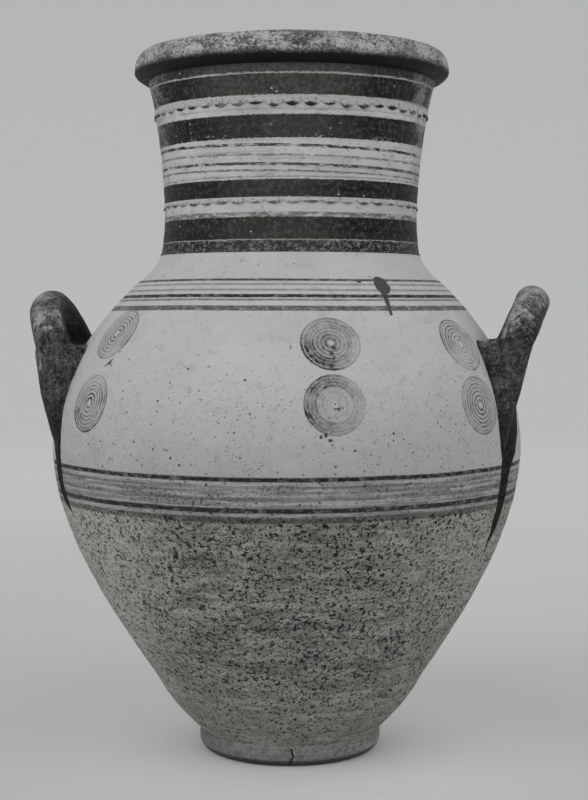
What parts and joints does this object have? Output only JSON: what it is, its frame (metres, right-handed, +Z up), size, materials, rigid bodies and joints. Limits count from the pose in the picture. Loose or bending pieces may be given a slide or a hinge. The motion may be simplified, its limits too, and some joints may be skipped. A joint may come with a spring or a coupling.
{
  "type": "two-handled jar",
  "caption": "Tall painted clay storage jar with ring foot, ovoid body, flaring neck with scalloped cordons, rolled rim and upright loop handles on the shoulder.",
  "frame": {"origin": "centre of the overall box at the resting face of the foot ring", "axes": "+Z up along the jar's axis; the handles lie along X, right_handle on +X; -Y faces the camera of the picture"},
  "size_m": [0.5206, 0.4704, 0.7],
  "materials": {
    "foot_clay": "matt fired clay",
    "bare_clay": "matt fired clay with dark grit",
    "light_slip": "matt pale slip",
    "dark_paint": "matt dark clay paint",
    "worn_paint": "worn dark paint over clay"
  },
  "bodies": {
    "root": {"foot_ring": "foot_clay", "lower_body": "bare_clay", "upper_body": "light_slip", "neck": "dark_paint", "rim": "worn_paint", "lower_cordon": "light_slip", "upper_cordon": "light_slip", "right_handle": "dark_paint", "left_handle": "dark_paint"}
  },
  "joints": []
}
